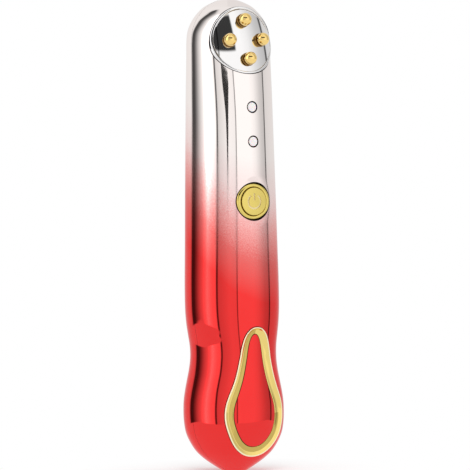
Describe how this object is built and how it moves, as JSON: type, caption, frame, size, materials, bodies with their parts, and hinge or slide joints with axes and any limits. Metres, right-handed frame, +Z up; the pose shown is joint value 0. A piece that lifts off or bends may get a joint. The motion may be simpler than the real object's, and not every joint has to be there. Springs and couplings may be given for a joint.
{
  "type": "facial massage wand",
  "caption": "Slim hand-held facial massage wand with ball electrodes on a tilted head, a round power button, indicator lights and a teardrop trim, standing on its foot.",
  "frame": {"origin": "middle of the flat foot, on the body's long axis, level with the surface that it stands on", "axes": "+Z up the wand from the foot to the head, -Y out of the front with the button and the ball electrodes, +X to the right of someone who faces the front"},
  "size_m": [0.0372, 0.0384, 0.175],
  "materials": {
    "shell": "metal-plated, silver at the head fading to red",
    "silver_chrome": "polished",
    "gold": "polished",
    "gold_plastic": "metal-plated",
    "seal_rubber": "matte",
    "white_plastic": "matte",
    "steel": "satin",
    "light_guide": "translucent",
    "dark_plastic": "matte",
    "battery": "plain film sleeve",
    "foam": "matte",
    "weight_metal": "cast",
    "board": "satin",
    "led": "clear",
    "wire_red": "satin",
    "wire_black": "satin",
    "wire_blue": "satin",
    "wire_yellow": "satin",
    "wire_white": "satin"
  },
  "bodies": {
    "wand": {"front_shell": "shell", "rear_shell": "shell", "head_ring": "silver_chrome", "head_plate": "silver_chrome", "head_seal": "seal_rubber", "electrode_top": "gold", "electrode_bottom": "gold", "electrode_left": "gold", "electrode_right": "gold", "electrode_bush_top": "white_plastic", "electrode_bush_bottom": "white_plastic", "electrode_bush_left": "white_plastic", "electrode_bush_right": "white_plastic", "electrode_lug_top": "steel", "electrode_lug_bottom": "steel", "electrode_lug_left": "steel", "electrode_lug_right": "steel", "electrode_nut_top": "steel", "electrode_nut_bottom": "steel", "electrode_nut_left": "steel", "electrode_nut_right": "steel", "button_bezel": "gold", "button_seal": "seal_rubber", "light_guide_lower": "light_guide", "light_guide_upper": "light_guide", "teardrop_trim": "gold", "inner_frame": "dark_plastic", "frame_screw_1": "steel", "frame_screw_2": "steel", "frame_screw_3": "steel", "frame_screw_4": "steel", "board_screw_1": "steel", "board_screw_2": "steel", "battery": "battery", "battery_pad": "foam", "motor_body": "steel", "motor_sleeve": "seal_rubber", "main_board": "board", "processor": "dark_plastic", "coil": "dark_plastic", "charge_chip": "dark_plastic", "led_lower": "led", "led_upper": "led", "switch_body": "steel", "charge_socket": "steel", "charge_board": "board", "battery_lead_red": "wire_red", "battery_lead_black": "wire_black", "motor_lead_left": "wire_blue", "motor_lead_right": "wire_blue", "charge_lead_left": "wire_yellow", "charge_lead_right": "wire_yellow", "electrode_lead_left": "wire_white", "electrode_lead_top": "wire_white", "electrode_lead_bottom": "wire_white", "electrode_lead_right": "wire_white"},
    "button": {"button_cap": "gold_plastic"},
    "plunger": {"switch_plunger": "dark_plastic"},
    "vibration_weight": {"motor_weight": "weight_metal"}
  },
  "joints": [
    {"name": "button_press", "type": "slide", "parent": "wand", "child": "button", "axis": [0, 1, 0], "range_m": [0, 0.00045], "stiffness_N_per_m": 800, "springref_m": -0.001},
    {"name": "plunger_press", "type": "slide", "parent": "wand", "child": "plunger", "axis": [0, 1, 0], "range_m": [0, 0.00045]},
    {"name": "motor_spin", "type": "hinge", "parent": "wand", "child": "vibration_weight", "pos_m": [0, 0.003, 0.142], "axis": [0, 0, 1], "continuous": true}
  ],
  "couplings": [
    {"joint": "plunger_press", "follows": "button_press", "ratio": 1}
  ]
}
